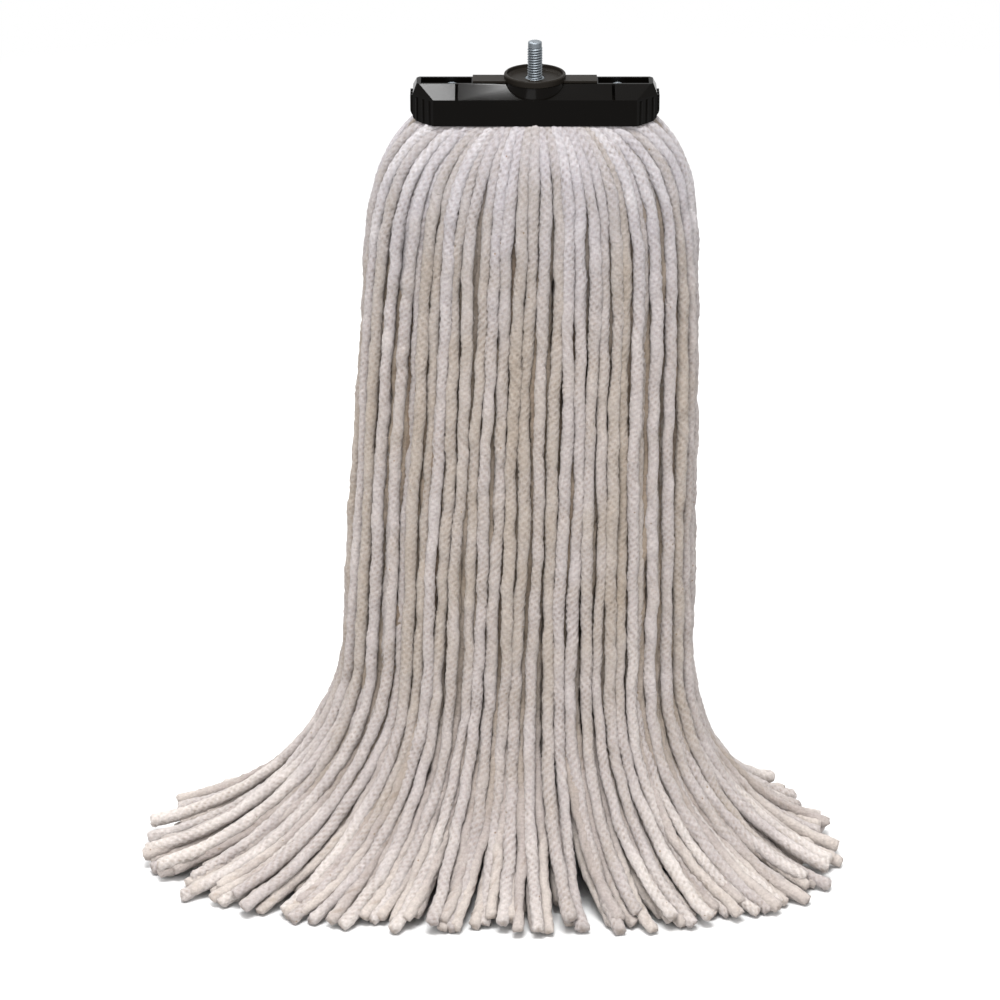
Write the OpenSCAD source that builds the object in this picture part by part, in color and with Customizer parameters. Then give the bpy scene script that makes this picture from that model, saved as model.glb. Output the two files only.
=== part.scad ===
// Screw-on string mop head: a plastic yoke that clamps a bundle of cut-end cotton yarns,
// with the threaded stud that a handle screws on. It stands on the ends of its yarns.
// The origin is on the stud's axis, at the floor of the yoke's seat for the handle.
// +Z runs up the stud and X runs along the yoke.

/* [Yoke] */
// Length of the yoke's skirt
yoke_length = 129.5; // [128:0.5:140]
// Depth of the yoke's skirt, front to back
yoke_depth = 39; // [38:1:42]
// Height of the skirt's upright walls
skirt_height = 14.5; // [12.5:0.5:16]
// Rise of the sloped shoulders above the skirt
shoulder_rise = 4.8; // [4:0.2:6]
// Width of each sloped shoulder, seen from above
shoulder_width = 13.2; // [12:0.1:13.2]
// Thickness of the skirt's walls
skirt_wall = 1.8; // [1.5:0.1:2.2]
// Length cut off each corner of the skirt, along the yoke
corner_length = 11; // [8:0.5:13]
// Depth cut off each corner of the skirt
corner_depth = 11; // [8:0.5:12]

/* [Handle seat] */
// Diameter of the seat's rim
rim_d = 32.8; // [32:0.2:34]
// Diameter of the dish inside the rim
dish_d = 30; // [29:0.1:30.4]
// Depth of the dish
dish_depth = 2.5; // [2:0.25:3]
// Length of the raised spine on both sides of the seat
spine_length = 66; // [60:1:70]
// Width of the raised spine
spine_width = 11; // [9:0.5:11]
// Height of the spine above the top of the yoke
spine_rise = 1.3; // [1:0.1:1.6]

/* [Stud] */
// Outside diameter of the stud's thread
stud_d = 7.94; // [7.6:0.01:7.94]
// Diameter of the bolt's plain shank, below the thread
shank_d = 7.1; // [6.6:0.1:7.4]
// Length of stud that stands above the floor of the seat
stud_reach = 20; // [17:0.5:26]
// Diameter of the bolt's head under the clamp plate
bolt_head_d = 19; // [16:0.5:20]

/* [Yarn] */
// Diameter of one yarn
yarn_d = 6.5; // [5.5:0.1:6.5]
// Height of the skirt's lower edge above the floor
hang_height = 436.5; // [400:0.5:480]
// Yarns in the outer layer on each side
side_yarns = 20; // [14:1:20]
// Half the length of the hanging bundle, where it leaves the yoke's shoulder
column_half_length = 85; // [80:1:90]
// Half the depth of the hanging bundle, where it leaves the yoke's shoulder
column_half_depth = 39; // [36:1:44]
// How far the yarns reach outwards at the floor, along the yoke
foot_reach_x = 95; // [80:1:110]
// How far the yarns reach outwards at the floor, to the front and back
foot_reach_y = 60; // [45:1:65]

/* [Hidden] */
SIDES = ["front", "back"];
function yarn_name(side, i) = str(side, "_yarn_", i < 10 ? "0" : "", i);
$fn = 72;
eps = 0.01;

// Heights of the yoke, measured from the floor of the seat
yoke_height = skirt_height + shoulder_rise;
rim_rise = 4.1;
skirt_z = dish_depth - rim_rise - yoke_height;
wall_top_z = skirt_z + skirt_height;
top_z = skirt_z + yoke_height;
rim_z = top_z + rim_rise;
cavity_top_z = skirt_z + 9.6;
floor_z = skirt_z - hang_height;

// Plan sizes of the yoke
top_length = yoke_length - 4;
top_depth = yoke_depth - 2 * shoulder_width;
top_corner = 1.5;
sheet = 0.2;
notch_x = 41.5;
notch_width = 1.6;
notch_depth = 0.8;
rib_count = 3;
rib_pitch = 4.6;
rib_size = 1.4;
rib_height = skirt_height - 1.5;
edge_round = 5;
rim_inset = 0.3;
socket_depth = 0.4;

// Recesses in the top of the yoke, and the screws in them
recess_length = 27;
recess_wall = 1.3;
recess_width = top_depth - 2 * recess_wall;
recess_depth = 3.8;
recess_x = 47;
screw_x = 44;
screw_d = 4.8;
screw_head_d = 8.6;
screw_head_rise = 2.6;

// Clamp plate below the gripped yarns
plate_length = 118;
plate_depth = 17;
plate_thickness = 4.4;
plate_drop = 2;
plate_bottom_z = skirt_z - plate_drop;
plate_top_z = plate_bottom_z + plate_thickness;
tooth_size = 1.6;
tooth_pitch = 8;
tooth_places = [for (k = [2, 3, 4, 5, 6]) for (side = [-1, 1])
    if (abs(k * tooth_pitch - screw_x) > 3.5) side * k * tooth_pitch];
plate_corner = 4;
bolt_square = 8;
bolt_head_rise = 2.6;
bolt_clearance = 0.25;
collar_d = 10.4;
collar_height = 1.2;

// Hanging bundle of yarns
bulge_drop = 20;
lean_x = -13;
lean_power = 1.2;
swell_x = 14.5;
swell_y = 10;
foot_rise = 130;
foot_lead_x = -11;
foot_skew = 0.16;
foot_shape = [1.05, 0.06, -0.12];
foot_overrun = 1.4;
roundness = 2.6;
exit_half_length = 57;
corner_limit = (yoke_length + yoke_depth) / 2 - corner_length - sqrt(2) * (skirt_wall + yarn_d / 2);
exit_y = 14.4;
grip_y = 8.5;
grip_rise = 7.5;
yarn_sides = 8;
column_steps = 13;
foot_steps = 9;
foot_gap = 12;
outline_steps = 40;
inner_inset = 9;
foot_share = 0.8;
foot_edge = 3;
shoulder_drops = [4, 12, 24, 40];
// How far out each yarn's end lies, as a share of the full reach, repeated round the bundle
end_reach = [1, 0.9, 0.97, 0.84, 1.02, 0.93, 0.88];
// How many half diameters each yarn's end lies above the floor, repeated round the bundle
end_layer = [1, 2.4, 1, 1.8, 1, 2.8, 1.2, 1];

// Share of the bundle's full girth reached at a drop below the skirt
function girth(drop) = 1 - exp(-drop / bulge_drop);
function depth_of(side) = side == "front" ? -1 : 1;

// Place on the bundle's rounded outline, as shares of its half length and half depth
function outline_place(turn) = let (x = sin(turn))
    [x, pow(max(0, 1 - pow(abs(x), roundness)), 1 / roundness)];
function around(side, i) = let (place = outline_place(180 * (i - 0.5) / side_yarns - 90))
    [place[0], depth_of(side) * place[1]];

// Point of the hanging bundle, at a drop below the skirt, for a place round it
function column_point(place, drop) = let (share = drop / hang_height)
    [lean_x * pow(share, lean_power) + (column_half_length + swell_x * share) * place[0],
     (column_half_depth + swell_y * share) * place[1]];

// Where a yarn comes out under the skirt, kept inside the skirt's cut corners
function leave_point(side, i) = let (x = exit_half_length * (2 * (i - 1) / (side_yarns - 1) - 1))
    [x, depth_of(side) * min(exit_y, corner_limit - abs(x))];

// Route of one outer yarn, from the grip in the yoke to its cut end on the floor
function grip_points(side, i) =
    let (leave = leave_point(side, i), inner = depth_of(side) * grip_y)
    [[leave[0], inner, skirt_z + grip_rise],
     [leave[0], (inner + leave[1]) / 2, skirt_z + grip_rise / 2],
     [leave[0], leave[1], skirt_z]];
function hanging_point(side, i, drop) =
    let (leave = leave_point(side, i),
         p = leave + (column_point(around(side, i), drop) - leave) * girth(drop))
    [p[0], p[1], skirt_z - drop];
function foot_reach(place) = [
    (foot_reach_x + foot_lead_x * place[0]) * place[0] * (1 - foot_skew * place[0] * place[0] * place[1]),
    foot_reach_y * place[1] * (foot_shape * [1, place[0], place[0] * place[0]])];
function foot_point(side, i, turn) =
    let (place = around(side, i),
         lift = end_layer[i % len(end_layer)] * yarn_d / 2 - sagging(last_turn(side, i)),
         rise = lift + foot_rise * (1 - sin(turn)),
         out = foot_reach(place) * foot_overrun * (1 - cos(turn)),
         p = hanging_point(side, i, hang_height - min(rise, foot_rise)))
    [p[0] + out[0], p[1] + out[1], floor_z + rise];
function reach_of(side, i) = end_reach[(i + (side == "front" ? 0 : 3)) % len(end_reach)];
function last_turn(side, i) = acos(1 - reach_of(side, i) / foot_overrun);
function sagging(turn) = foot_rise * (1 - sin(turn));
function yarn_route(side, i) = concat(
    grip_points(side, i),
    [for (drop = shoulder_drops) hanging_point(side, i, drop)],
    [for (k = [1 : column_steps])
        hanging_point(side, i, shoulder_drops[3]
            + (hang_height - foot_rise - shoulder_drops[3] - foot_gap) * k / column_steps)],
    [for (k = [0 : foot_steps]) foot_point(side, i, last_turn(side, i) * (k + 0.35) / (foot_steps + 0.35))]
);

// Tube along a route of points, closed by a flat cap at each end
function unit(v) = v / norm(v);
function heading(route, k) = unit(route[min(k + 1, len(route) - 1)] - route[max(k - 1, 0)]);
module tube(route, d, sides) {
    last = len(route) - 1;
    corners = [for (k = [0 : last]) let (
            along = heading(route, k),
            across = unit(cross(along, [1, 0, 0])),
            up = cross(across, along)
        ) for (s = [0 : sides - 1]) let (a = 360 * s / sides)
            route[k] + (across * cos(a) + up * sin(a)) * d / 2];
    walls = [for (k = [0 : last - 1]) for (s = [0 : sides - 1]) let (n = (s + 1) % sides)
        [k * sides + s, k * sides + n, (k + 1) * sides + n, (k + 1) * sides + s]];
    caps = [[for (s = [sides - 1 : -1 : 0]) s], [for (s = [0 : sides - 1]) last * sides + s]];
    polyhedron(points = corners, faces = concat(walls, caps), convexity = 6);
}

// Loft through level outlines that all have the same number of corners, from top to bottom
module loft(outlines) {
    n = len(outlines[0]);
    last = len(outlines) - 1;
    walls = [for (k = [0 : last - 1]) for (s = [0 : n - 1]) let (m = (s + 1) % n)
        [k * n + s, (k + 1) * n + s, (k + 1) * n + m, k * n + m]];
    caps = [[for (s = [0 : n - 1]) s], [for (s = [n - 1 : -1 : 0]) last * n + s]];
    polyhedron(points = [for (o = outlines) for (p = o) p], faces = concat(walls, caps), convexity = 6);
}

// Rectangle with its four corners cut off
module cut_corner_plan(length, depth, cut_x, cut_y) {
    x = length / 2;
    y = depth / 2;
    polygon([[-x, cut_y - y], [cut_x - x, -y], [x - cut_x, -y], [x, cut_y - y],
             [x, y - cut_y], [x - cut_x, y], [cut_x - x, y], [-x, y - cut_y]]);
}

// Front view of the yoke, with its two lower corners rounded
module yoke_front_view() {
    x = yoke_length / 2 + rib_size;
    translate([-x + edge_round, skirt_z]) square([2 * (x - edge_round), 2 * yoke_height]);
    translate([-x, skirt_z + edge_round]) square([2 * x, 2 * yoke_height]);
    for (side = [-1, 1]) translate([side * (x - edge_round), skirt_z + edge_round]) circle(edge_round);
}

// Sloped shoulders, from the skirt's plan in to the narrow top
module shoulders() {
    hull() {
        translate([0, 0, wall_top_z - sheet]) linear_extrude(sheet)
            cut_corner_plan(yoke_length, yoke_depth, corner_length, corner_depth);
        translate([0, 0, top_z - sheet]) linear_extrude(sheet)
            cut_corner_plan(top_length, top_depth, top_corner, top_corner);
    }
}

// Flared foot that carries the seat's rim down to the front and back walls
module seat_flare() {
    translate([0, 0, wall_top_z - sheet])
        cylinder(d1 = yoke_depth - 2 * rim_inset, d2 = rim_d - 2 * rim_inset,
            h = shoulder_rise + sheet + socket_depth);
}

// Upright ribs on both ends of the skirt and on its cut corners
module end_ribs() {
    for (side = [-1, 1]) for (face = [-1, 1]) for (share = [0.2, 0.5, 0.8])
        translate([side * (yoke_length / 2 - corner_length * share),
                   face * (yoke_depth / 2 - corner_depth * (1 - share)), skirt_z])
            cylinder(d = rib_size, h = rib_height, $fn = 24);
    for (side = [-1, 1]) for (k = [0 : rib_count - 1])
        translate([side * yoke_length / 2, (k - (rib_count - 1) / 2) * rib_pitch, skirt_z + rib_height / 2])
            cube([2 * rib_size, rib_size, rib_height], center = true);
}

module yoke_shell() {
    color("#1b1a19") difference() {
        intersection() {
            union() {
                translate([0, 0, skirt_z]) linear_extrude(skirt_height)
                    cut_corner_plan(yoke_length, yoke_depth, corner_length, corner_depth);
                shoulders();
                seat_flare();
                end_ribs();
            }
            translate([0, yoke_depth, 0]) rotate([90, 0, 0]) linear_extrude(2 * yoke_depth)
                yoke_front_view();
        }
        translate([0, 0, skirt_z - 1]) linear_extrude(cavity_top_z - skirt_z + 1)
            cut_corner_plan(yoke_length - 2 * skirt_wall, yoke_depth - 2 * skirt_wall,
                corner_length, corner_depth);
        for (side = [-1, 1]) {
            translate([side * recess_x, 0, top_z - recess_depth + 10])
                cube([recess_length, recess_width, 20], center = true);
            translate([side * screw_x, 0, skirt_z]) cylinder(d = screw_d + 0.4, h = yoke_height + 5);
            for (face = [-1, 1])
                translate([side * notch_x, face * (yoke_depth / 2), wall_top_z + 3])
                    cube([notch_width, 2 * shoulder_width, 2 * notch_depth + 5.2], center = true);
        }
        translate([0, 0, skirt_z]) cylinder(d = stud_d + 2 * bolt_clearance, h = 2 * yoke_height);
    }
}

// Spine and round dished seat on top of the yoke, where the handle's end bears
module handle_seat() {
    color("#3a3531") difference() {
        union() {
            translate([-spine_length / 2, -spine_width / 2, top_z])
                cube([spine_length, spine_width, spine_rise]);
            rotate_extrude() polygon([[0, top_z + socket_depth],
                [rim_d / 2 - rim_inset, top_z + socket_depth],
                [rim_d / 2, top_z + 2 * socket_depth], [rim_d / 2, rim_z - 0.5], [rim_d / 2 - 0.5, rim_z],
                [0, rim_z]]);
        }
        rotate_extrude() polygon([[0, 0], [dish_d / 2 - 1.6, 0], [dish_d / 2 - 0.4, 0.9],
            [dish_d / 2, rim_z + 1], [0, rim_z + 1]]);
        translate([0, 0, top_z - 5]) cylinder(d = stud_d + 2 * bolt_clearance, h = 20);
        translate([0, 0, -collar_height]) cylinder(d = collar_d, h = 10);
        translate([0, 0, top_z - 5]) cylinder(d = rim_d - 2 * rim_inset, h = 5 + socket_depth);
    }
}

// Toothed plate that the bolt draws up against the yarns
module clamp_plate() {
    color("#24221f") difference() {
        union() {
            translate([0, 0, plate_bottom_z]) linear_extrude(plate_thickness)
                cut_corner_plan(plate_length, plate_depth, plate_corner, plate_corner);
            for (x = tooth_places)
                translate([x - tooth_size / 2, 1 - plate_depth / 2, plate_top_z])
                    cube([tooth_size, plate_depth - 2, tooth_size]);
        }
        translate([0, 0, plate_bottom_z + plate_thickness / 2])
            cube([bolt_square + 0.4, bolt_square + 0.4, plate_thickness + 1], center = true);
        for (side = [-1, 1]) translate([side * screw_x, 0, plate_bottom_z - 1]) cylinder(d = screw_d, h = 20);
    }
}

// Bolt whose upper end is the stud: domed head, square neck and plain-modelled thread
module carriage_bolt() {
    dome_r = (pow(bolt_head_d / 2, 2) + pow(bolt_head_rise, 2)) / (2 * bolt_head_rise);
    chamfer = 1.2;
    color("#a9aeb4") {
        translate([0, 0, plate_bottom_z - bolt_head_rise]) intersection() {
            translate([0, 0, dome_r]) sphere(dome_r);
            cylinder(d = bolt_head_d, h = bolt_head_rise);
        }
        translate([-bolt_square / 2, -bolt_square / 2, plate_bottom_z - eps])
            cube([bolt_square, bolt_square, plate_thickness]);
        translate([0, 0, plate_bottom_z]) cylinder(d = shank_d, h = -plate_bottom_z);
        cylinder(d = stud_d, h = stud_reach - chamfer);
        translate([0, 0, stud_reach - chamfer])
            cylinder(d1 = stud_d, d2 = stud_d - 2 * chamfer, h = chamfer);
    }
}

// Push-on ring, flush with the seat, that keeps the bolt from dropping out of the yoke
module stud_collar() {
    color("#8d9196") rotate_extrude()
        polygon([[shank_d / 2, -collar_height], [collar_d / 2, -collar_height], [collar_d / 2, -0.4],
            [collar_d / 2 - 0.4, 0], [shank_d / 2, 0]]);
}

// Two screws through the yoke, the yarns and the clamp plate
module fixing_screws() {
    head_z = top_z - recess_depth;
    dome_r = (pow(screw_head_d / 2, 2) + pow(screw_head_rise, 2)) / (2 * screw_head_rise);
    color("#b4b6b8") for (side = [-1, 1]) translate([side * screw_x, 0, 0]) {
        translate([0, 0, head_z]) intersection() {
            translate([0, 0, screw_head_rise - dome_r]) sphere(dome_r);
            cylinder(d = screw_head_d, h = screw_head_rise);
        }
        translate([0, 0, plate_bottom_z]) cylinder(d = screw_d - 0.4, h = head_z - plate_bottom_z + eps);
    }
}

// Middle of every yarn, pressed flat between the clamp plate and the yoke
module gripped_yarns() {
    color("#cfc4b0") difference() {
        translate([-exit_half_length, -grip_y, plate_top_z + eps])
            cube([2 * exit_half_length, 2 * grip_y, cavity_top_z - plate_top_z - 2 * eps]);
        translate([0, 0, plate_top_z - 1]) cylinder(d = stud_d + 2 * bolt_clearance, h = 20);
        translate([0, 0, plate_top_z - 1]) cube([bolt_square + 1, bolt_square + 1, 3], center = true);
        for (side = [-1, 1]) translate([side * screw_x, 0, plate_top_z - 1]) cylinder(d = screw_d, h = 20);
        for (x = tooth_places)
            translate([x - tooth_size / 2, -plate_depth, plate_top_z - 1])
                cube([tooth_size, 2 * plate_depth, 1 + tooth_size]);
    }
}

// Yarns behind the outer layer, as one bell of their outer shape, flat where it meets the floor
function ring_place(turn) = let (place = outline_place(abs(turn - 180) - 90))
    [place[0], turn > 180 ? -place[1] : place[1]];
function inner_outline(drop, out, z) = [for (k = [0 : outline_steps - 1]) let (
        place = ring_place(360 * k / outline_steps),
        leave = [exit_half_length * place[0], exit_y * place[1]],
        p = leave + (column_point(place, drop) - leave) * girth(drop),
        q = p + foot_reach(place) * foot_overrun * out - inner_inset * place
    ) [q[0], q[1], z]];
module inner_yarns() {
    hanging = [for (drop = [7, 16, 30, 50, 90, 150, 220, hang_height - foot_rise])
        inner_outline(drop, 0, skirt_z - drop)];
    last = acos(1 - foot_share / foot_overrun);
    spreading = [for (k = [1 : 6])
        let (turn = last * k / 6, drop = hang_height - foot_rise * (1 - sin(turn)))
        inner_outline(drop, 1 - cos(turn), skirt_z - drop - (sagging(last) - foot_edge) * k / 6)];
    foot = [inner_outline(hang_height, 1 - cos(last), floor_z)];
    color("#c9bda8") loft(concat(hanging, spreading, foot));
}

module yarn(side, i) {
    color(i % 3 == 0 ? "#e2d9c8" : i % 3 == 1 ? "#ece4d8" : "#dcd6cf")
        tube(yarn_route(side, i), yarn_d, yarn_sides);
}

yoke_shell();
handle_seat();
clamp_plate();
carriage_bolt();
stud_collar();
fixing_screws();
gripped_yarns();
inner_yarns();
for (side = SIDES) for (i = [1 : side_yarns])
    yarn(side, i);
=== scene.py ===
"""Looks of the string mop: its yarns at their real length, the moulded yoke, the stud and the studio."""
import math
import bmesh
import bpy
import numpy as np
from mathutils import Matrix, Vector


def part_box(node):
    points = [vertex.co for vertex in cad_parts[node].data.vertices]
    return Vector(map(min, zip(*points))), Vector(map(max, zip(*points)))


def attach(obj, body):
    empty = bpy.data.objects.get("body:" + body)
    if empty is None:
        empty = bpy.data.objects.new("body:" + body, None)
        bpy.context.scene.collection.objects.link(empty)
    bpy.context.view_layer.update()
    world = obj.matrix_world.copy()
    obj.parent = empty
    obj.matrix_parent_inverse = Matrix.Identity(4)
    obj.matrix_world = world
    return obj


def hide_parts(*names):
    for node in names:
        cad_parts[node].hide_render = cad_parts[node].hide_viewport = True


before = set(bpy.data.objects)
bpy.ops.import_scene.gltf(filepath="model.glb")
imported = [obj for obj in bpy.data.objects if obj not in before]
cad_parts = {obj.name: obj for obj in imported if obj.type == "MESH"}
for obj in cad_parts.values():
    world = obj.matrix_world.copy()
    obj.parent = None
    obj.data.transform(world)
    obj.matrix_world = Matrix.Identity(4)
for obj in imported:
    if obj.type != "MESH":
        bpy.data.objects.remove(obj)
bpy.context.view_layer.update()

MM = 0.001

# ---------------------------------------------------------------- sizes, as in the CAD frame
SKIRT_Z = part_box("yoke_shell")[0].z
FLOOR_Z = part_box("inner_yarns")[0].z
RIM_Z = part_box("handle_seat")[1].z
STUD_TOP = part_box("carriage_bolt")[1].z
YARN_D = 6.5 * MM
HANG = SKIRT_Z - FLOOR_Z
SIDE_YARNS = 20
COLUMN_HALF_LENGTH = 85 * MM
COLUMN_HALF_DEPTH = 39 * MM
FOOT_REACH_X = 95 * MM
FOOT_REACH_Y = 60 * MM
FOOT_LEAD_X = -11 * MM
FOOT_SKEW = 0.16
FOOT_SHAPE = (1.05, 0.06, -0.12)
FOOT_RISE = 130 * MM
FOOT_OVERRUN = 1.4
BULGE_DROP = 20 * MM
LEAN_X = -13 * MM
LEAN_POWER = 1.2
SWELL_X = 14.5 * MM
SWELL_Y = 10 * MM
ROUNDNESS = 2.6
SKIRT_HALF_LENGTH = 64.75 * MM
SKIRT_HALF_DEPTH = 19.5 * MM
SKIRT_HEIGHT = 14.5 * MM
SKIRT_WALL = 1.8 * MM
CORNER_CUT = 11 * MM
CORNER_LIMIT = SKIRT_HALF_LENGTH + SKIRT_HALF_DEPTH - CORNER_CUT - math.sqrt(2) * (SKIRT_WALL + YARN_D / 2)
EXIT_HALF_LENGTH = 57 * MM
EXIT_Y = 14.4 * MM
GRIP_Y = 8.5 * MM
GRIP_RISE = 7.5 * MM
# Control points: drops below the skirt, then even steps down the column and round the foot
SHOULDER_DROPS = (4 * MM, 12 * MM, 24 * MM, 40 * MM)
COLUMN_STEPS = 13
FOOT_GAP = 12 * MM
FOOT_STEPS = 9
FOOT_FIRST_STEP = 0.35
FOOT_EVENING = 0.85
# Reach and stacking of the declared yarns' ends, repeated along each side
END_REACH = [1, 0.9, 0.97, 0.84, 1.02, 0.93, 0.88]
END_LAYER = [1, 2.4, 1, 1.8, 1, 2.8, 1.2, 1]

# ---------------------------------------------------------------- camera
CAMERA_DISTANCE = 2.5
HEAD_ELEVATION = math.radians(18)
CAMERA_PITCH = math.radians(23.2)
CAMERA_SIDE = -18.5 * MM
LENS = 169
SENSOR = 36


def make_camera():
    """The photograph's view, from in front and above, with the whole mop in the frame."""
    data = bpy.data.cameras.new("camera")
    data.lens = LENS
    data.sensor_width = SENSOR
    camera = bpy.data.objects.new("camera", data)
    camera.location = (CAMERA_SIDE, -CAMERA_DISTANCE * math.cos(HEAD_ELEVATION),
                       RIM_Z + CAMERA_DISTANCE * math.sin(HEAD_ELEVATION))
    camera.rotation_euler = (math.pi / 2 - CAMERA_PITCH, 0, 0)
    bpy.context.collection.objects.link(camera)
    bpy.context.scene.camera = camera


make_camera()


# ---------------------------------------------------------------- yarn routes
def outline_place(turn):
    """Where a yarn stands on the rounded outline of the bundle, from -90 (left) through 0 (front) to 90."""
    x = math.sin(math.radians(turn))
    return x, max(0.0, 1 - abs(x) ** ROUNDNESS) ** (1 / ROUNDNESS)


def leave_point(sign, slot):
    """Where a yarn comes out under the skirt, kept inside the skirt's cut corners."""
    x = EXIT_HALF_LENGTH * (2 * (slot - 1) / (SIDE_YARNS - 1) - 1)
    return x, sign * min(EXIT_Y, CORNER_LIMIT - abs(x))


def column_point(place, drop, inset, rise):
    """The middle of a hanging yarn at a drop below the skirt, seen from above."""
    share = drop / HANG
    inset = inset * (1 - FOOT_EVENING * min(1, max(0, (drop - HANG + rise) / rise)))
    return np.array([
        LEAN_X * share ** LEAN_POWER + (COLUMN_HALF_LENGTH + SWELL_X * share - inset) * place[0],
        (COLUMN_HALF_DEPTH + SWELL_Y * share - inset) * place[1],
    ])


def yarn_route(place, leave, reach, layer, inset=0.0, rise=FOOT_RISE):
    """Control points of one yarn: out of the grip, over the shoulder, down, and out along the floor."""
    side = 1 if place[1] >= 0 else -1
    leave = np.array(leave)
    grip_y = side * min(GRIP_Y, abs(leave[1]))
    points = [(leave[0], grip_y, SKIRT_Z + GRIP_RISE),
              (leave[0], (grip_y + leave[1]) / 2, SKIRT_Z + GRIP_RISE / 2),
              (leave[0], leave[1], SKIRT_Z)]

    def hanging(drop):
        return leave + (column_point(place, drop, inset, rise) - leave) * (1 - math.exp(-drop / BULGE_DROP))

    for drop in SHOULDER_DROPS:
        points.append((*hanging(drop), SKIRT_Z - drop))
    start, end = SHOULDER_DROPS[-1], HANG - rise - FOOT_GAP
    for k in range(1, COLUMN_STEPS + 1):
        drop = start + (end - start) * k / COLUMN_STEPS
        points.append((*hanging(drop), SKIRT_Z - drop))
    last = math.acos(1 - reach / FOOT_OVERRUN)
    lift = layer * YARN_D / 2 - rise * (1 - math.sin(last))
    skew = 1 - FOOT_SKEW * place[0] ** 2 * place[1]
    depth = FOOT_SHAPE[0] + FOOT_SHAPE[1] * place[0] + FOOT_SHAPE[2] * place[0] ** 2
    out = np.array([(FOOT_REACH_X + FOOT_LEAD_X * place[0]) * place[0] * skew,
                    FOOT_REACH_Y * place[1] * depth])
    for k in range(FOOT_STEPS + 1):
        turn = last * (k + FOOT_FIRST_STEP) / (FOOT_STEPS + FOOT_FIRST_STEP)
        height = lift + rise * (1 - math.sin(turn))
        point = hanging(HANG - min(height, rise)) + out * FOOT_OVERRUN * (1 - math.cos(turn))
        points.append((*point, FLOOR_Z + height))
    return np.array(points)


SPAN_STEPS = 12


def smooth_line(points, step):
    """Catmull-Rom line through the points, resampled at an even step."""
    padded = np.vstack([2 * points[0] - points[1], points, 2 * points[-1] - points[-2]])
    parts = []
    for k in range(1, len(padded) - 2):
        a, b, c, d = padded[k - 1:k + 3]
        t = np.linspace(0, 1, SPAN_STEPS, endpoint=False)[:, None]
        parts.append(0.5 * (2 * b + (c - a) * t + (2 * a - 5 * b + 4 * c - d) * t ** 2
                            + (3 * b - a - 3 * c + d) * t ** 3))
    line = np.vstack(parts + [points[-1:]])
    along = np.concatenate([[0], np.cumsum(np.linalg.norm(np.diff(line, axis=0), axis=1))])
    at = np.linspace(0, along[-1], max(8, int(round(along[-1] / step)) + 1))
    return np.stack([np.interp(at, along, line[:, k]) for k in range(3)], axis=1), at


# Lengths of a yarn's sideways waves in metres, each with its share of the size
WAVES = ((0.21, 1), (0.09, 0.5), (0.034, 0.36), (0.017, 0.24))
STEADY_LENGTH = 20 * MM
EASE_LENGTH = 50 * MM
STRAY_LENGTH = 100 * MM
HEADING_RINGS = 20


def wavy(line, at, rng, size, wander):
    """The line with the slow sideways waves and small kinks of a limp yarn, and a cut end that strays."""
    ease = np.clip((at - STEADY_LENGTH) / EASE_LENGTH, 0, 1)
    shift = np.zeros_like(line)
    for axis in (0, 1):
        for length, share in WAVES:
            phase = rng.uniform(0, 2 * math.pi)
            shift[:, axis] += size * share * rng.uniform(0.5, 1) * np.sin(
                2 * math.pi * at / (length * rng.uniform(0.8, 1.25)) + phase)
    stray = np.clip((at - at[-1]) / STRAY_LENGTH + 1, 0, 1) ** 2 * rng.uniform(-1, 1) * wander
    heading = line[-1] - line[-HEADING_RINGS]
    sideways = np.array([-heading[1], heading[0], 0]) / max(1e-6, math.hypot(heading[0], heading[1]))
    moved = line + shift * ease[:, None] + stray[:, None] * sideways
    moved[:, 2] = line[:, 2]
    return moved


def noise_along(at, rng, length):
    """Smooth random values from -1 to 1 along a yarn, changing over about that length."""
    n = max(4, int(at[-1] / length) + 3)
    return np.interp(at, np.linspace(0, at[-1], n), rng.uniform(-1, 1, n))


# ---------------------------------------------------------------- yarn meshes
PLIES = 4
PLY_PITCH = 20 * MM
PLY_DEPTH = 0.85
PLY_CENTRE = 0.44
# Valley depth at which the painted crease shade between the plies is full
CREASE_SHADE_DEPTH = 0.22
SOFT_PATCH = 14 * MM
LUMPS = ((4.5 * MM, 0.06), (2.4 * MM, 0.045))
CUT_SPREAD = 90 * MM
CUT_FLARE = 5 * MM


def surface_lumps(rng, rings, sides, length, cell):
    """Smooth random values from -1 to 1 over a yarn's surface, changing over about that distance."""
    n = max(3, int(length / cell))
    m = max(3, int(math.pi * YARN_D / cell))
    grid = rng.uniform(-1, 1, (n + 1, m))
    grid = np.concatenate([grid, grid[:, :1]], axis=1)
    u = np.linspace(0, n, rings)
    v = np.linspace(0, m, sides, endpoint=False)
    i = np.minimum(u.astype(int), n - 1)
    j = v.astype(int)
    fu = (u - i)[:, None]
    fv = (v - j)[None, :]
    fu = fu * fu * (3 - 2 * fu)
    fv = fv * fv * (3 - 2 * fv)
    low = grid[i][:, j] * (1 - fv) + grid[i][:, j + 1] * fv
    high = grid[i + 1][:, j] * (1 - fv) + grid[i + 1][:, j + 1] * fv
    return low * (1 - fu) + high * fu


def yarn_axes(line):
    """Unit vectors along, across and out of a line, with no twist of their own."""
    along = np.gradient(line, axis=0)
    along /= np.linalg.norm(along, axis=1)[:, None]
    across = np.zeros_like(line)
    start = np.cross(along[0], [0.31, 0.87, 0.38])
    across[0] = start / np.linalg.norm(start)
    for k in range(1, len(line)):
        v = across[k - 1] - along[k] * (across[k - 1] @ along[k])
        across[k] = v / np.linalg.norm(v)
    return along, across, np.cross(along, across)


def tube_faces(rings, sides):
    """Quads of a tube's wall, ring by ring."""
    k = np.arange(rings - 1)[:, None] * sides
    s = np.arange(sides)[None, :]
    m = (s + 1) % sides
    return np.stack([k + s, k + m, k + sides + m, k + sides + s], axis=-1).reshape(-1, 4)


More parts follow.
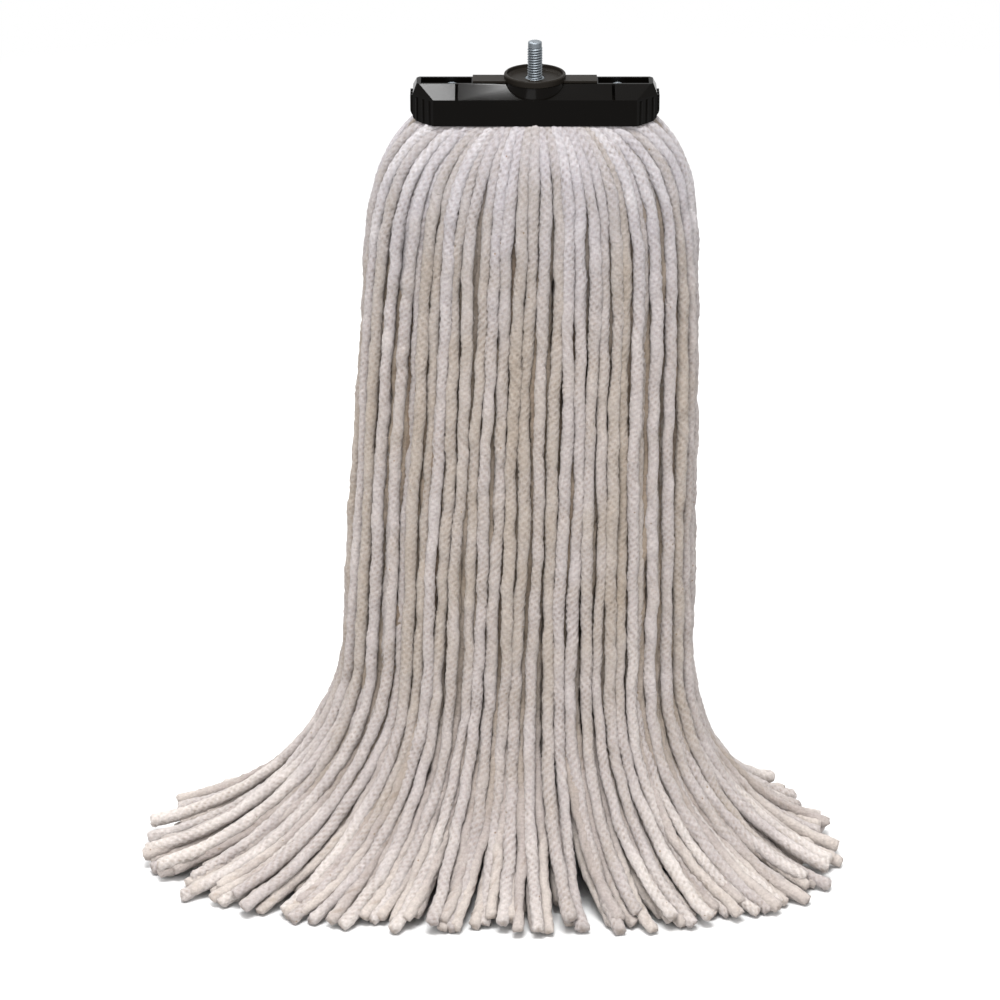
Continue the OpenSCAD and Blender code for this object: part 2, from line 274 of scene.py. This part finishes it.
def yarn_arrays(line, at, rng, diameter, sides):
    """Corners, faces and per-corner painted crease shade of a soft plied yarn that follows the line."""
    n = len(line)
    along, across, up = yarn_axes(line)
    angle = np.linspace(0, 2 * math.pi, sides, endpoint=False)
    left = at[-1] - at
    length = at[-1]
    girth = diameter / 2 * (1 + 0.06 * noise_along(at, rng, 45 * MM) + 0.10 * noise_along(at, rng, 10 * MM))
    girth = girth * (1 + 0.09 * np.clip(1 - left / CUT_SPREAD, 0, 1) + 0.09 * np.exp(-left / CUT_FLARE))
    twist = -2 * math.pi * at / PLY_PITCH
    twist = twist + 1.5 * noise_along(at, rng, 60 * MM) + 0.5 * noise_along(at, rng, 14 * MM)
    twist += rng.uniform(0, 2 * math.pi)

    # The section is four round plies, softened in patches
    sector = 2 * math.pi / PLIES
    delta = (angle[None, :] - twist[:, None] + sector / 2) % sector - sector / 2
    wall = np.maximum((1 - PLY_CENTRE) ** 2 - (PLY_CENTRE * np.sin(delta)) ** 2, 0.01)
    round_ply = PLY_CENTRE * np.cos(delta) + np.sqrt(wall)
    softness = PLY_DEPTH * (1.1 + 0.5 * surface_lumps(rng, n, sides, length, SOFT_PATCH))
    valley = (1 - round_ply) * softness
    # Painted shade in the valleys between the plies, less where the valleys are shallow
    crease_shade = np.clip((1 - round_ply) / CREASE_SHADE_DEPTH, 0, 1) * np.clip(softness / (1.6 * PLY_DEPTH), 0, 1)
    lumps = 1 + sum(share * surface_lumps(rng, n, sides, length, cell) for cell, share in LUMPS)
    radius = girth[:, None] * (1 - valley) * lumps * (1.04 + 0.035 * rng.uniform(-1, 1, (n, sides)))
    spread = (np.cos(angle)[None, :, None] * across[:, None, :]
              + np.sin(angle)[None, :, None] * up[:, None, :])
    corners = line[:, None, :] + radius[:, :, None] * spread

    # The cut end is ragged, ply by ply
    ply = ((angle - twist[-1]) % (2 * math.pi) / sector).astype(int) % PLIES
    ragged = rng.uniform(-0.9, 0.9, PLIES)[ply] + rng.uniform(-0.5, 0.5, sides)
    corners[-1] = line[-1] + (corners[-1] - line[-1]) * 0.84 + (ragged[:, None] - 0.4) * along[-1] * MM
    corners[-2] += 0.4 * ragged[:, None] * along[-1] * MM
    tip = line[-1] + along[-1] * 0.4 * MM
    corners = np.vstack([corners.reshape(-1, 3), line[:1], tip[None]])
    corners[:, 2] = np.maximum(corners[:, 2], FLOOR_Z)

    last = (n - 1) * sides
    caps = [[(j + 1) % sides, j, n * sides] for j in range(sides)]
    caps += [[last + j, last + (j + 1) % sides, n * sides + 1] for j in range(sides)]
    # The end caps' centre points get painted shade too, more at the cut end
    crease_shade = np.concatenate([crease_shade.ravel(), [0.5, 0.9]])
    return corners, tube_faces(n, sides), np.array(caps), crease_shade


LYING_LENGTH = 200 * MM
# Painted light on the crown: over this first length of each yarn its colour place is raised, by up to this
# much
CROWN_LIGHT_LENGTH = 110 * MM
CROWN_LIGHT_TINT = 0.15


def tones_and_light(at, sides, hanging, lying):
    """Colour place of one yarn's corners, from its hanging part to the part that lies on the floor; the
    first part, at the crown, is raised towards the lit colours as painted light.
    """
    share = np.clip((at - at[-1]) / LYING_LENGTH + 1, 0, 1)
    # Painted light on the crown
    crown_light = CROWN_LIGHT_TINT * np.clip(1 - at / CROWN_LIGHT_LENGTH, 0, 1)
    return np.concatenate([np.repeat(hanging + crown_light + (lying - hanging) * share, sides), [hanging, lying]])


FIBRE_FIRST_RING = 12
TIP_RINGS = 4
FIBRE_CORNERS = 9
FIBRE_WIDTHS = (0.055 * MM, 0.05 * MM, 0.012 * MM)
FIBRE_TINT = 0.9


def fibre_arrays(corners, line, sides, rng, count):
    """Fine cotton ends that stand off one yarn, each a bent three-sided sliver."""
    n = len(line)
    ring = rng.integers(FIBRE_FIRST_RING, n - 1, count)
    ring[:count // 6] = rng.integers(n - TIP_RINGS, n, count // 6)
    root = corners[ring * sides + rng.integers(0, sides, count)]
    out = root - line[ring]
    out /= np.linalg.norm(out, axis=1)[:, None]
    ahead = line[np.minimum(ring + 1, n - 1)] - line[np.maximum(ring - 1, 0)]
    ahead /= np.linalg.norm(ahead, axis=1)[:, None]
    ahead *= rng.choice([-1, 1], count)[:, None]
    tip_ring = ring >= n - TIP_RINGS
    ahead[tip_ring] = (line[-1] - line[-3]) / np.linalg.norm(line[-1] - line[-3])
    side = np.cross(out, ahead)
    lift = rng.uniform(0.3, 1.3, count)[:, None] * MM
    run = rng.uniform(0.8, 3.2, count)[:, None] * MM
    sway = rng.uniform(-1, 1, count)[:, None] * MM
    stations = [root - out * 0.4 * MM, root + out * lift + ahead * run * 0.4,
                root + out * lift * rng.uniform(0.4, 1.7, count)[:, None] + ahead * run + side * sway]
    rows = []
    for place, w in zip(stations, FIBRE_WIDTHS):
        for a in (0, 120, 240):
            rows.append(place + w * (math.cos(math.radians(a)) * out + math.sin(math.radians(a)) * side))
    points = np.stack(rows, axis=1).reshape(-1, 3)
    points[:, 2] = np.maximum(points[:, 2], FLOOR_Z)
    base = np.arange(count) * FIBRE_CORNERS
    quads = np.concatenate([np.stack([base + k + a, base + k + (a + 1) % 3, base + k + 3 + (a + 1) % 3,
                                      base + k + 3 + a], axis=-1) for k in (0, 3) for a in (0, 1, 2)])
    caps = np.concatenate([np.stack([base + 2, base + 1, base], axis=-1),
                           np.stack([base + 6, base + 7, base + 8], axis=-1)])
    return points, quads, caps, np.zeros(len(points)), np.full(len(points), FIBRE_TINT)


def build_mesh(name, parts):
    """One mesh object from several yarns, with a tone value that also carries painted light and shade, and
    a painted crease shade value per corner.
    """
    mesh = bpy.data.meshes.new(name)
    corners = np.vstack([p[0] for p in parts])
    starts = np.concatenate([[0], np.cumsum([len(p[0]) for p in parts])])
    loops = []
    counts = []
    for start, part in zip(starts, parts):
        loops += [(part[1] + start).ravel(), (part[2] + start).ravel()]
        counts += [np.full(len(part[1]), 4), np.full(len(part[2]), 3)]
    loops = np.concatenate(loops).astype(np.int32)
    counts = np.concatenate(counts).astype(np.int32)
    mesh.vertices.add(len(corners))
    mesh.vertices.foreach_set("co", corners.astype(np.float32).ravel())
    mesh.loops.add(len(loops))
    mesh.loops.foreach_set("vertex_index", loops)
    mesh.polygons.add(len(counts))
    mesh.polygons.foreach_set("loop_start", np.concatenate([[0], np.cumsum(counts)[:-1]]).astype(np.int32))
    mesh.polygons.foreach_set("loop_total", counts)
    mesh.polygons.foreach_set("use_smooth", np.ones(len(counts), bool))
    mesh.update(calc_edges=True)
    crease_shade = mesh.attributes.new("crease_shade", "FLOAT", "POINT")
    crease_shade.data.foreach_set("value", np.concatenate([p[3] for p in parts]).astype(np.float32))
    tone_and_light = mesh.attributes.new("tone_and_light", "FLOAT", "POINT")
    tone_and_light.data.foreach_set("value", np.concatenate([p[4] for p in parts]).astype(np.float32))
    piece = bpy.data.objects.new(name, mesh)
    bpy.context.collection.objects.link(piece)
    return piece


# ---------------------------------------------------------------- cotton material
# Places on the tint scale, from the shaded inner yarns to the ends that lie in the light
COTTON_COLOURS = (
    (0, (0.20, 0.138, 0.092, 1)),
    (0.3, (0.335, 0.277, 0.22, 1)),
    (0.55, (0.395, 0.346, 0.308, 1)),
    (0.78, (0.44, 0.397, 0.389, 1)),
    (1, (0.585, 0.538, 0.512, 1)),
)
# Painted shade, multiplied into the colour where the crease shade value is high
CREASE_SHADE_COLOUR = (0.58, 0.51, 0.44, 1)
# Painted cool light on the crown: a slightly dimmer, bluer colour, full above the high mark and none below
# the low mark
CROWN_COOL_LIGHT = (0.92, 0.96, 1.04, 1)
COOL_LIGHT_LOW = SKIRT_Z - 130 * MM
COOL_LIGHT_HIGH = SKIRT_Z - 30 * MM
SPECK_COLOUR = (0.22, 0.15, 0.09, 1)
SPECK_SIZE = 0.16
SPECK_SHARE = 0.018


def new_material(name):
    material = bpy.data.materials.new(name)
    material.use_nodes = True
    material.node_tree.nodes.clear()
    return material


def node_adder(material):
    """A function that adds a node to the material, with its settings and its fixed or linked inputs."""
    tree = material.node_tree

    def add(kind, inputs=None, **settings):
        node = tree.nodes.new(kind)
        for name, value in settings.items():
            setattr(node, name, value)
        for name, value in (inputs or {}).items():
            if isinstance(value, bpy.types.NodeSocket):
                tree.links.new(value, node.inputs[name])
            else:
                node.inputs[name].default_value = value
        return node

    return add


def cotton_material():
    """Unbleached cotton: a tone per yarn with painted light and shade, painted shade in the creases, a
    painted cool light on the crown, seed specks and fuzz.
    """
    material = new_material("cotton")
    add = node_adder(material)
    place = add("ShaderNodeTexCoord").outputs["Object"]

    # Tone per yarn, which also carries painted light and shade
    tone_and_light = add("ShaderNodeAttribute", attribute_name="tone_and_light")
    drift = add("ShaderNodeTexNoise", {"Vector": place, "Scale": 40, "Detail": 3})
    shift = add("ShaderNodeMath", {0: drift.outputs["Fac"], 1: 0.5, 2: -0.25}, operation="MULTIPLY_ADD")
    total = add("ShaderNodeMath", {0: shift.outputs[0], 1: tone_and_light.outputs["Fac"]}, operation="ADD",
                use_clamp=True)
    ramp = add("ShaderNodeValToRGB", {"Fac": total.outputs[0]})
    ramp.color_ramp.elements[0].color = COTTON_COLOURS[0][1]
    ramp.color_ramp.elements[1].color = COTTON_COLOURS[-1][1]
    for at, colour in COTTON_COLOURS[1:-1]:
        ramp.color_ramp.elements.new(at).color = colour

    # Painted shade in the creases between the plies
    crease_shade = add("ShaderNodeAttribute", attribute_name="crease_shade")
    shaded_crease = add("ShaderNodeMix", {"Factor": crease_shade.outputs["Fac"], "A": ramp.outputs["Color"],
                                   "B": CREASE_SHADE_COLOUR}, data_type="RGBA", blend_type="MULTIPLY")
    # Painted cool light over the crown, by height
    spot = add("ShaderNodeSeparateXYZ", {0: place})
    cool_light_share = add("ShaderNodeMapRange", {"Value": spot.outputs["Z"], "From Min": COOL_LIGHT_LOW,
                                       "From Max": COOL_LIGHT_HIGH})
    cool_light = add("ShaderNodeMix", {"Factor": cool_light_share.outputs["Result"], "A": shaded_crease.outputs["Result"],
                                 "B": CROWN_COOL_LIGHT}, data_type="RGBA", blend_type="MULTIPLY")

    cells = add("ShaderNodeTexVoronoi", {"Vector": place, "Scale": 330}, feature="F1")
    near = add("ShaderNodeMath", {0: cells.outputs["Distance"], 1: SPECK_SIZE}, operation="LESS_THAN")
    pick = add("ShaderNodeSeparateColor", {"Color": cells.outputs["Color"]})
    rare = add("ShaderNodeMath", {0: pick.outputs["Red"], 1: SPECK_SHARE}, operation="LESS_THAN")
    speck = add("ShaderNodeMath", {0: near.outputs[0], 1: rare.outputs[0]}, operation="MULTIPLY")
    dotted = add("ShaderNodeMix", {"Factor": speck.outputs[0], "A": cool_light.outputs["Result"],
                                   "B": SPECK_COLOUR}, data_type="RGBA")

    mottle = add("ShaderNodeTexNoise", {"Vector": place, "Scale": 640, "Detail": 5, "Roughness": 0.65})
    shade = add("ShaderNodeMapRange", {"Value": mottle.outputs["Fac"], "From Min": 0.3, "From Max": 0.7,
                                       "To Min": 0.78, "To Max": 1.12})
    worn = add("ShaderNodeMix", {"Factor": 1, "A": dotted.outputs["Result"],
                                 "B": shade.outputs["Result"]}, data_type="RGBA", blend_type="MULTIPLY")
    fuzz = add("ShaderNodeTexNoise", {"Vector": place, "Scale": 620, "Detail": 6, "Roughness": 0.7})
    bump = add("ShaderNodeBump", {"Strength": 0.8, "Distance": 2.4 * MM, "Height": fuzz.outputs["Fac"]})
    shader = add("ShaderNodeBsdfPrincipled", {
        "Roughness": 0.92, "Sheen Weight": 0.15, "Sheen Roughness": 0.6, "Specular IOR Level": 0.15,
        "Base Color": worn.outputs["Result"], "Normal": bump.outputs["Normal"]})
    add("ShaderNodeOutputMaterial", {"Surface": shader.outputs[0]})
    return material


COTTON = cotton_material()

# ---------------------------------------------------------------- the yarns
OUTER_STEP = 1.9 * MM
OUTER_SIDES = 20
OUTER_WAVE = 0.9 * MM
OUTER_WANDER = 3.5 * MM
OUTER_FIBRES = 130
PATH_STEP = 4
BETWEEN_STEP = 2.1 * MM
BETWEEN_SIDES = 16
BETWEEN_WAVE = 1.0 * MM
BETWEEN_WANDER = 6 * MM
BETWEEN_FIBRES = 100
# Near the ends of the bundle these yarns stand further in: from this share of its half length,
# over this share, by this many mm
CROWD_START = 0.5
CROWD_SPAN = 0.35
CROWD_DEPTH = 5
# Rings of inner yarns: count, depth behind the outer layer in mm, share of the reach, step in mm, sides
INNER_RINGS = (
    (80, 5.4, 0.97, 2.8, 11),
    (70, 11, 0.93, 3.4, 9),
    (48, 17, 0.82, 4, 8),
    (30, 23.5, 0.72, 5, 8),
    (14, 30, 0.6, 5, 8),
)
INNER_WAVE = 1.3 * MM
INNER_WANDER = 8 * MM
# Least painted crease shade on the inner yarns, which darkens them all over as shaded
INNER_CREASE_SHADE = 0.45
PIECE_QUADS = 90000
FIBRES = []


def finish_yarns(piece):
    """Cotton and the body the yarns ride on."""
    piece.data.materials.append(COTTON)
    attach(piece, "root")


def outer_yarns():
    """The declared cords: one for each front and back yarn node of the CAD."""
    for side, sign, first in (("front", -1, 0), ("back", 1, 3)):
        for i in range(1, SIDE_YARNS + 1):
            rng = np.random.default_rng(100 * first + i)
            x, y = outline_place(180 * (i - 0.5) / SIDE_YARNS - 90)
            leave = leave_point(sign, i)
            route = yarn_route((x, sign * y), leave, END_REACH[(i + first) % len(END_REACH)],
                               END_LAYER[i % len(END_LAYER)])
            line, at = smooth_line(route, OUTER_STEP)
            line = wavy(line, at, rng, OUTER_WAVE, OUTER_WANDER)
            part = yarn_arrays(line, at, rng, YARN_D, OUTER_SIDES)
            FIBRES.append(fibre_arrays(part[0], line, OUTER_SIDES, rng, OUTER_FIBRES))
            name = f"{side}_yarn_{i:02d}"
            # The lying part sits higher on the scale: painted light on the ends that lie on the floor
            tone_and_light = tones_and_light(at, OUTER_SIDES, rng.uniform(0.5, 0.82), rng.uniform(0.72, 1.12))
            piece = build_mesh(f"cord_{name}", [(*part, tone_and_light)])
            finish_yarns(piece)
            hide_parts(name)
            path = line[::PATH_STEP]
            if len(line) % PATH_STEP != 1:
                path = np.vstack([path, line[-1:]])


outer_yarns()


def between_yarns():
    """The other half of the outer layer, which lies in the gaps between the declared yarns."""
    parts = []
    for sign, seed in ((-1, 7), (1, 8)):
        for i in range(0, SIDE_YARNS + 1):
            if sign > 0 and i in (0, SIDE_YARNS):
                continue
            rng = np.random.default_rng(1000 * seed + i)
            x, y = outline_place(180 * i / SIDE_YARNS - 90 + rng.uniform(-0.8, 0.8))
            leave = leave_point(sign, min(SIDE_YARNS, max(1, i + 0.5)))
            if i in (0, SIDE_YARNS):
                leave = (math.copysign(EXIT_HALF_LENGTH - 1 * MM, x), 0)
            crowd = CROWD_DEPTH * np.clip((abs(x) - CROWD_START) / CROWD_SPAN, 0, 1)
            route = yarn_route((x, sign * y), leave, rng.uniform(0.88, 1.03),
                               rng.choice([1, 1, 2.2, 3]), inset=(rng.uniform(0.3, 1.8) + crowd) * MM)
            line, at = smooth_line(route, BETWEEN_STEP)
            line = wavy(line, at, rng, BETWEEN_WAVE, BETWEEN_WANDER)
            part = yarn_arrays(line, at, rng, YARN_D * rng.uniform(0.94, 1.06), BETWEEN_SIDES)
            FIBRES.append(fibre_arrays(part[0], line, BETWEEN_SIDES, rng, BETWEEN_FIBRES))
            # Hanging a little darker than the declared yarns: painted shade, as they stand further in; the
            # lying part lighter: painted light
            tone_and_light = tones_and_light(at, BETWEEN_SIDES, rng.uniform(0.4, 0.78), rng.uniform(0.72, 1.12))
            parts.append((*part, tone_and_light))
    return parts


def inner_rings():
    """The yarns behind the outer layer, in five rings that get sparser and shorter towards the middle,
    painted with shade where they hang.
    """
    parts = []
    for ring, (count, inset, share, step, sides) in enumerate(INNER_RINGS):
        for i in range(count):
            rng = np.random.default_rng(20000 * (ring + 1) + i)
            turn = 360 * (i + 0.5 + rng.uniform(-0.15, 0.15)) / count
            x, y = outline_place(abs(turn % 360 - 180) - 90)
            y = -y if turn % 360 > 180 else y
            squeeze = 1 - 0.18 * (ring + 1)
            leave = (EXIT_HALF_LENGTH * x * (1 - 0.08 * ring), EXIT_Y * squeeze * y)
            lower = 1.0 if ring else 0.3
            route = yarn_route((x, y), leave, share * rng.uniform(0.88, 1.06),
                               rng.choice([1, 1, 1.6, 2.4]), inset=(inset + rng.uniform(-1, 1)) * MM,
                               rise=FOOT_RISE - inset * lower * MM)
            line, at = smooth_line(route, step * MM)
            line = wavy(line, at, rng, INNER_WAVE, INNER_WANDER)
            diameter = YARN_D * rng.uniform(0.92, 1.04)
            corners, quads, caps, crease_shade = yarn_arrays(line, at, rng, diameter, sides)
            # Hanging at the dark end of the scale: painted shade behind the outer layer; the lying part
            # light: painted light
            hanging = rng.uniform(0.0, 0.3) if ring else rng.uniform(0.1, 0.4)
            parts.append((corners, quads, caps, np.maximum(crease_shade, INNER_CREASE_SHADE),
                          tones_and_light(at, sides, hanging, rng.uniform(0.85, 1.15))))
    return parts


def inner_yarns():
    """All undeclared yarns, in pieces small enough to be exported whole, and the loose fibres."""
    parts = between_yarns() + inner_rings()
    groups = [[]]
    quads = 0
    for part in parts:
        quads += len(part[1])
        if quads > PIECE_QUADS:
            groups.append([])
            quads = len(part[1])
        groups[-1].append(part)
    for k, group in enumerate(groups):
        piece = build_mesh(f"inner_yarns_{k + 1}", group)
        finish_yarns(piece)
        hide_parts("inner_yarns")
    finish_yarns(build_mesh("loose_fibres", FIBRES))


inner_yarns()


# ---------------------------------------------------------------- plastic and metal
def uneven_roughness(add, place, noise, low, high):
    """A clouded roughness between two values."""
    cloud = add("ShaderNodeTexNoise", {"Vector": place, **noise})
    rough = add("ShaderNodeMapRange", {"Value": cloud.outputs["Fac"], "To Min": low, "To Max": high})
    return rough.outputs["Result"]


def plastic_material(name, colour, roughness, grain, specular):
    """Moulded plastic with slightly uneven gloss and a fine grain."""
    material = new_material(name)
    add = node_adder(material)
    place = add("ShaderNodeTexCoord").outputs["Object"]
    rough = uneven_roughness(add, place, {"Scale": 60, "Detail": 5}, roughness - 0.03, roughness + 0.05)
    fine = add("ShaderNodeTexNoise", {"Vector": place, "Scale": 700})
    bump = add("ShaderNodeBump", {"Strength": grain, "Distance": 0.2 * MM, "Height": fine.outputs["Fac"]})
    shader = add("ShaderNodeBsdfPrincipled", {
        "Base Color": (*colour, 1), "Specular IOR Level": specular, "Roughness": rough,
        "Normal": bump.outputs["Normal"]})
    add("ShaderNodeOutputMaterial", {"Surface": shader.outputs[0]})
    return material


def zinc_material():
    """Zinc-plated steel with a clouded gloss."""
    material = new_material("zinc")
    add = node_adder(material)
    place = add("ShaderNodeTexCoord").outputs["Object"]
    rough = uneven_roughness(add, place, {"Scale": 300}, 0.44, 0.6)
    shader = add("ShaderNodeBsdfPrincipled", {
        "Metallic": 1, "Base Color": (0.18, 0.20, 0.217, 1), "Roughness": rough})
    add("ShaderNodeOutputMaterial", {"Surface": shader.outputs[0]})
    return material


BLACK = plastic_material("black_plastic", (0.0018, 0.0015, 0.0012), 0.12, 0.03, 0.055)
SEAT = plastic_material("seat_plastic", (0.0095, 0.0079, 0.0062), 0.38, 0.1, 0.05)
ZINC = zinc_material()


def dress(node, material):
    """Give a CAD node its material."""
    data = bpy.data.objects[node].data
    data.materials.clear()
    data.materials.append(material)


dress("yoke_shell", BLACK)
dress("clamp_plate", BLACK)
dress("handle_seat", SEAT)
for name in ("carriage_bolt", "stud_collar", "fixing_screws"):
    dress(name, ZINC)


SHOULDER_Z = SKIRT_Z + SKIRT_HEIGHT
WELD = 0.01 * MM
FLAT_BEND = math.radians(1)
MERGE_BEND = math.radians(2)
CURVE_BEND = math.radians(15)
EDGE_BEND = math.radians(28)
# The seat's conical foot, whose faces are all smooth
FLARE_R = 18.5 * MM
FLARE_MIDDLE = 2.5 * MM
FLARE_HALF_HEIGHT = 2.6 * MM


def rounded_copy(node, name, radius, material):
    """The CAD node's own shape with the small edge radii of a moulding, in its place."""
    work = bmesh.new()
    work.from_mesh(bpy.data.objects[node].data)
    bmesh.ops.remove_doubles(work, verts=work.verts, dist=WELD)
    bmesh.ops.dissolve_limit(work, angle_limit=MERGE_BEND, verts=work.verts, edges=work.edges)
    for face in work.faces:
        bends = [e.calc_face_angle(0) for e in face.edges if e.is_manifold]
        face.smooth = any(FLAT_BEND < bend < CURVE_BEND for bend in bends)
    sharp = [e for e in work.edges if e.is_manifold and e.calc_face_angle(0) > EDGE_BEND]
    rounds = bmesh.ops.bevel(work, geom=sharp, offset=radius, segments=3, profile=0.6, affect="EDGES",
                             clamp_overlap=True)
    for face in rounds["faces"]:
        face.smooth = True
    for face in work.faces:
        centre = face.calc_center_median()
        off_middle = abs(centre.z - SHOULDER_Z - FLARE_MIDDLE)
        if math.hypot(centre.x, centre.y) < FLARE_R and off_middle < FLARE_HALF_HEIGHT:
            face.smooth = True
    bmesh.ops.triangulate(work, faces=[f for f in work.faces if len(f.verts) > 4])
    mesh = bpy.data.meshes.new(name)
    work.to_mesh(mesh)
    work.free()
    mesh.materials.append(material)
    piece = bpy.data.objects.new(name, mesh)
    bpy.context.collection.objects.link(piece)
    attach(piece, "root")
    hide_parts(node)
    return piece


rounded_copy("yoke_shell", "moulded_yoke", 0.45 * MM, BLACK)
rounded_copy("handle_seat", "moulded_seat", 0.3 * MM, SEAT)

# ---------------------------------------------------------------- threaded stud
STUD_R = 3.97 * MM
THREAD_PITCH = 25.4 / 18 * MM
THREAD_DEPTH = 0.78 * MM
SHANK_R = 3.55 * MM
LEAD = 2.6 * MM
BOLT_HEAD_R = 9.5 * MM
BOLT_HEAD_RISE = 2.6 * MM
BOLT_SIDES = 48
THREAD_STEPS = 9
DOME_HEIGHT_TURNS = (0, 18, 36, 54, 72, 90)
DOME_RADIUS_TURNS = (3, 30, 52, 68, 82, 90)
TIP_WALL_R = STUD_R - 1.55 * MM
TIP_FACE_R = STUD_R - 2.2 * MM


def threaded_bolt():
    """The carriage bolt as one lathe shape whose wall follows the helix of the thread above the seat."""
    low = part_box("carriage_bolt")[0].z
    seat = low + BOLT_HEAD_RISE
    heights = [low + BOLT_HEAD_RISE * (1 - math.cos(math.radians(a))) for a in DOME_HEIGHT_TURNS]
    radii = [BOLT_HEAD_R * math.sin(math.radians(a)) for a in DOME_RADIUS_TURNS]
    heights += [seat, -0.3 * MM, -0.1 * MM]
    radii += [SHANK_R, SHANK_R, SHANK_R]
    thread_z = np.arange(0, STUD_TOP, THREAD_PITCH / THREAD_STEPS)
    heights = np.concatenate([heights, thread_z, [STUD_TOP, STUD_TOP]])
    turn = np.linspace(0, 2 * math.pi, BOLT_SIDES, endpoint=False)
    rings = np.zeros((len(heights), BOLT_SIDES))
    rings[:len(radii)] = np.array(radii)[:, None]
    phase = (thread_z[:, None] / THREAD_PITCH - turn[None, :] / (2 * math.pi)) % 1
    crest = 1 - np.abs(2 * phase - 1)
    cut = THREAD_DEPTH * np.clip(1.05 - 1.35 * crest, 0, 1)
    fade_top = np.clip((STUD_TOP - LEAD - thread_z) / (1.2 * MM), 0, 1)
    fade_low = np.clip((thread_z + 0.4 * MM) / (0.8 * MM), 0, 1)
    wall = STUD_R - cut * (fade_top * fade_low)[:, None]
    wall -= (0.32 * MM * (1 - fade_top))[:, None]
    from_top = STUD_TOP - thread_z
    wall = np.minimum(wall, (STUD_R - 1.5 * MM + np.sqrt(np.clip(from_top * 3 * MM, 0, None)))[:, None])
    rings[len(radii):len(radii) + len(thread_z)] = wall
    rings[-2] = TIP_WALL_R
    rings[-1] = TIP_FACE_R
    corners = np.stack([rings * np.cos(turn), rings * np.sin(turn),
                        np.repeat(heights[:, None], BOLT_SIDES, axis=1)], axis=-1).reshape(-1, 3)
    faces = tube_faces(len(heights), BOLT_SIDES)
    ends = [list(range(BOLT_SIDES))[::-1], list(range(len(corners) - BOLT_SIDES, len(corners)))]
    mesh = bpy.data.meshes.new("threaded_bolt")
    mesh.from_pydata(corners.tolist(), [], faces.tolist() + ends)
    mesh.materials.append(ZINC)
    mesh.polygons.foreach_set("use_smooth", np.ones(len(mesh.polygons), bool))
    mesh.set_sharp_from_angle(angle=math.radians(50))
    piece = bpy.data.objects.new("threaded_bolt", mesh)
    bpy.context.collection.objects.link(piece)
    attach(piece, "root")
    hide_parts("carriage_bolt")


threaded_bolt()
dress("gripped_yarns", COTTON)


# ---------------------------------------------------------------- studio
FLOOR_REACH = 6
FLOOR_GREY = (0.66, 0.66, 0.66, 1)
FADE_START = 0.8
FADE_END = 1.6


def floor_material():
    """Matt grey under the object, which fades to the backdrop's white further out."""
    material = new_material("floor")
    add = node_adder(material)
    place = add("ShaderNodeTexCoord").outputs["Object"]
    away = add("ShaderNodeVectorMath", {0: place}, operation="LENGTH")
    fade = add("ShaderNodeMapRange", {"Value": away.outputs["Value"], "From Min": FADE_START,
                                      "From Max": FADE_END})
    matt = add("ShaderNodeBsdfDiffuse", {"Color": FLOOR_GREY})
    glow = add("ShaderNodeEmission", {"Strength": 1})
    blend = add("ShaderNodeMixShader", {0: fade.outputs["Result"], 1: matt.outputs[0],
                                        2: glow.outputs[0]})
    add("ShaderNodeOutputMaterial", {"Surface": blend.outputs[0]})
    return material


def make_stage():
    """The floor at the lowest yarns, and a white backdrop that also lights the object."""
    mesh = bpy.data.meshes.new("floor")
    corners = [(-FLOOR_REACH, -FLOOR_REACH, FLOOR_Z), (FLOOR_REACH, -FLOOR_REACH, FLOOR_Z),
               (FLOOR_REACH, FLOOR_REACH, FLOOR_Z), (-FLOOR_REACH, FLOOR_REACH, FLOOR_Z)]
    mesh.from_pydata(corners, [], [(0, 1, 2, 3)])
    mesh.materials.append(floor_material())
    floor = bpy.data.objects.new("floor", mesh)
    bpy.context.collection.objects.link(floor)
    world = bpy.data.worlds.new("studio")
    bpy.context.scene.world = world
    world.use_nodes = True
    world.node_tree.nodes["Background"].inputs["Color"].default_value = (1, 1, 1, 1)
    world.node_tree.nodes["Background"].inputs["Strength"].default_value = 1.0
    bpy.context.scene.view_settings.view_transform = "Standard"


def area_light(name, where, aim, size, power):
    data = bpy.data.lights.new(name, "AREA")
    data.shape = "RECTANGLE"
    data.size, data.size_y = size
    data.energy = power
    light = bpy.data.objects.new(name, data)
    light.location = where
    light.rotation_euler = (Vector(aim) - Vector(where)).to_track_quat("-Z", "Y").to_euler()
    bpy.context.collection.objects.link(light)


make_stage()
# Name, place, aim, size in metres and power in watts; the last one glances off the yoke's front slope
area_light("key", (-0.5, -1.9, 1.2), (0, 0, -0.2), (1.2, 1.2), 16)
area_light("overhead", (-0.12, -1.3, 3.1), (0, -0.1, -0.4), (1.6, 1.2), 180)
area_light("shoulder", (-0.195, 0.461, 0.761), (-0.1, -0.013, -0.004), (0.3, 0.12), 4.6)
